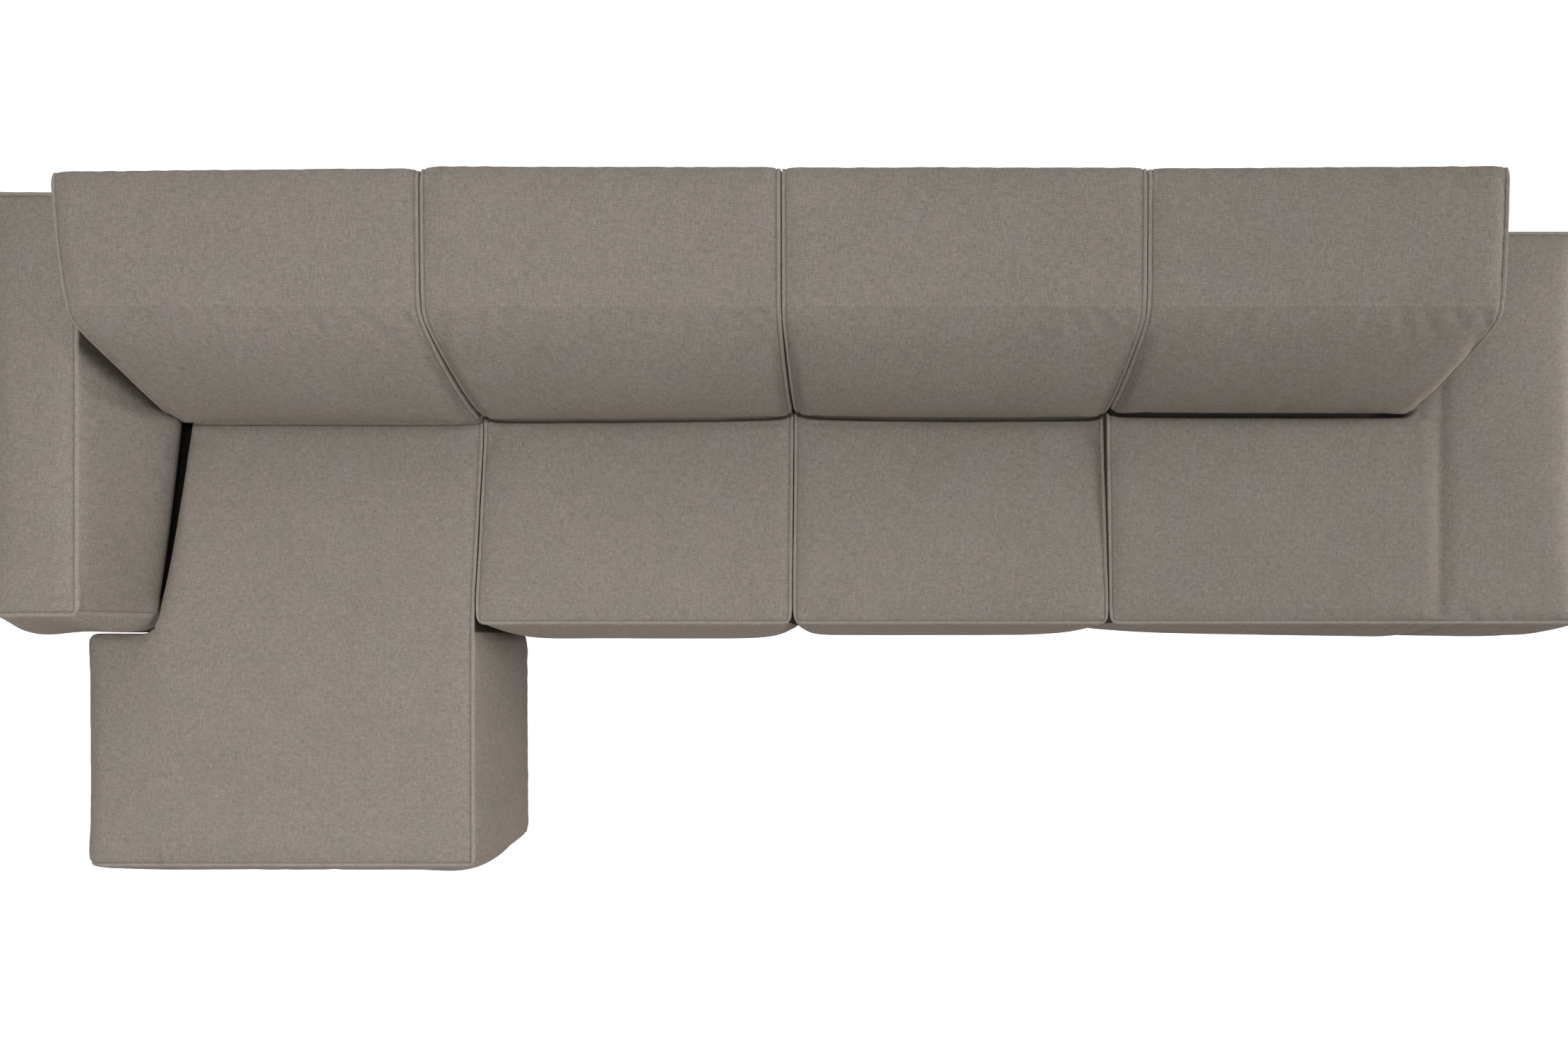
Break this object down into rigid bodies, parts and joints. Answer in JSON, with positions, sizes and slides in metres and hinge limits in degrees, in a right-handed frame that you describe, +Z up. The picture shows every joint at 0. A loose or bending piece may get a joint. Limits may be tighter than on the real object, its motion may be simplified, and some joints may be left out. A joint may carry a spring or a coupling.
{
  "type": "chaise sofa",
  "caption": "Low modular sofa with a chaise and box arm at its left, folding headrests on its backs, and an open end seat whose side folds up.",
  "frame": {"origin": "on the floor under the middle of the whole sofa's box", "axes": "+X toward the sitter's left end of the sofa (the open end), +Y to the rear, +Z up"},
  "size_m": [4.06, 1.725, 0.7843],
  "materials": {
    "upholstery": "matt taupe-grey woven fabric with fine slubs and flanged seams",
    "timber": "sawn pine and plywood, unfinished",
    "webbing": "black elastic webbing",
    "steel": "black powder-coated steel",
    "feet": "black matt plastic"
  },
  "bodies": {
    "sofa": {"arm_frame": "timber", "arm_cover": "upholstery", "chaise_base_frame": "timber", "chaise_seat_webbing": "webbing", "chaise_seat_cover": "upholstery", "chaise_back_frame": "timber", "chaise_back_cushion": "upholstery", "chaise_back_cover": "upholstery", "chaise_headrest_hinge": "steel", "middle_left_base_frame": "timber", "middle_left_seat_webbing": "webbing", "middle_left_seat_cover": "upholstery", "middle_left_back_frame": "timber", "middle_left_back_cushion": "upholstery", "middle_left_back_cover": "upholstery", "middle_left_headrest_hinge": "steel", "middle_right_base_frame": "timber", "middle_right_seat_webbing": "webbing", "middle_right_seat_cover": "upholstery", "middle_right_back_frame": "timber", "middle_right_back_cushion": "upholstery", "middle_right_back_cover": "upholstery", "middle_right_headrest_hinge": "steel", "end_base_frame": "timber", "end_seat_webbing": "webbing", "end_seat_cover": "upholstery", "end_back_frame": "timber", "end_back_cushion": "upholstery", "end_back_cover": "upholstery", "end_headrest_hinge": "steel", "flap_base_cover": "upholstery", "flap_hinge": "steel", "arm_foot_front": "feet", "arm_foot_rear": "feet", "chaise_toe_left": "feet", "chaise_toe_right": "feet", "chaise_foot_front": "feet", "chaise_foot_rear": "feet", "middle_left_foot_front": "feet", "middle_left_foot_rear": "feet", "middle_right_foot_front": "feet", "middle_right_foot_rear": "feet", "end_foot_front": "feet", "end_foot_rear": "feet", "connector_1": "steel", "connector_2": "steel", "connector_3": "steel", "connector_4": "steel"},
    "chaise_headrest": {"chaise_headrest_frame": "steel", "chaise_headrest_pad": "upholstery"},
    "middle_left_headrest": {"middle_left_headrest_frame": "steel", "middle_left_headrest_pad": "upholstery"},
    "middle_right_headrest": {"middle_right_headrest_frame": "steel", "middle_right_headrest_pad": "upholstery"},
    "end_headrest": {"end_headrest_frame": "steel", "end_headrest_pad": "upholstery"},
    "side_flap": {"flap_frame": "steel", "flap_pad": "upholstery"}
  },
  "joints": [
    {"name": "chaise_headrest_fold", "type": "hinge", "parent": "sofa", "child": "chaise_headrest", "pos_m": [-1.35, 0.5528, 0.7645], "axis": [1, 0, 0], "range_deg": [0, 70]},
    {"name": "middle_left_headrest_fold", "type": "hinge", "parent": "sofa", "child": "middle_left_headrest", "pos_m": [-0.51, 0.5528, 0.7645], "axis": [1, 0, 0], "range_deg": [0, 70]},
    {"name": "middle_right_headrest_fold", "type": "hinge", "parent": "sofa", "child": "middle_right_headrest", "pos_m": [0.33, 0.5528, 0.7645], "axis": [1, 0, 0], "range_deg": [0, 70]},
    {"name": "end_headrest_fold", "type": "hinge", "parent": "sofa", "child": "end_headrest", "pos_m": [1.17, 0.5528, 0.7645], "axis": [1, 0, 0], "range_deg": [0, 70]},
    {"name": "side_flap_fold", "type": "hinge", "parent": "sofa", "child": "side_flap", "pos_m": [1.635, 0.34, 0.4345], "axis": [0, -1, 0], "range_deg": [0, 65]}
  ]
}
